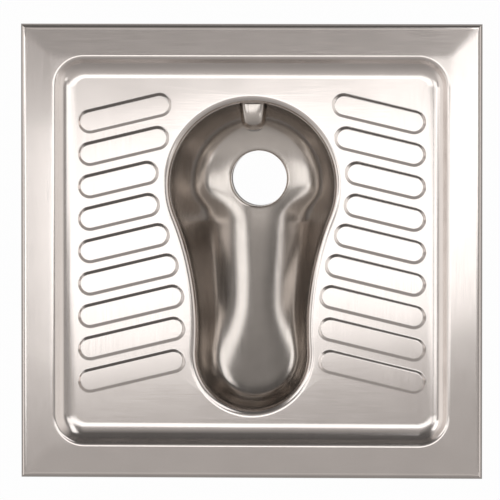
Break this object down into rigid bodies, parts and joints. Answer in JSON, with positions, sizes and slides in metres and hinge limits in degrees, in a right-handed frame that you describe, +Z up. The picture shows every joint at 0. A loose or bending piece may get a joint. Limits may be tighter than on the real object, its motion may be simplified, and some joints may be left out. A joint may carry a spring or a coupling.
{
  "type": "squat toilet pan",
  "caption": "Pressed steel squat toilet pan with a flat rim, a keyhole bowl between raised foot treads, a rear flush inlet and a round bottom outlet.",
  "frame": {"origin": "centre of the pan in the plane of the finished floor, which is the underside of the lip folded in under the rim", "axes": "+Z up, +Y towards the back, where the flush inlet is, +X to the right of a person facing the back"},
  "size_m": [0.61, 0.6, 0.1932],
  "materials": {
    "deck_steel": "satin stainless sheet, fine grain along each side of the rim",
    "bowl_steel": "deep drawn stainless sheet, satin with soft drawing marks",
    "tube_steel": "rolled stainless tube, mill finish",
    "strip_steel": "folded stainless strip, satin",
    "channel_steel": "rolled steel channel, mill finish",
    "anchor_steel": "galvanised flat strap, dull",
    "zinc_plated_steel": "zinc plated steel fasteners"
  },
  "bodies": {
    "root": {"deck": "deck_steel", "bowl": "bowl_steel", "drain_neck": "tube_steel", "inlet_pipe": "tube_steel", "spreader": "strip_steel", "pipe_strap": "strip_steel", "rail_left_outer": "channel_steel", "rail_left_inner": "channel_steel", "rail_right_inner": "channel_steel", "rail_right_outer": "channel_steel", "anchor_front_left": "anchor_steel", "anchor_front_right": "anchor_steel", "anchor_back_left": "anchor_steel", "anchor_back_right": "anchor_steel", "anchor_studs": "zinc_plated_steel", "anchor_washers": "zinc_plated_steel", "anchor_nuts": "zinc_plated_steel", "earth_tag": "strip_steel", "earth_bolt": "zinc_plated_steel", "earth_washers": "zinc_plated_steel", "earth_nut": "zinc_plated_steel"}
  },
  "joints": []
}
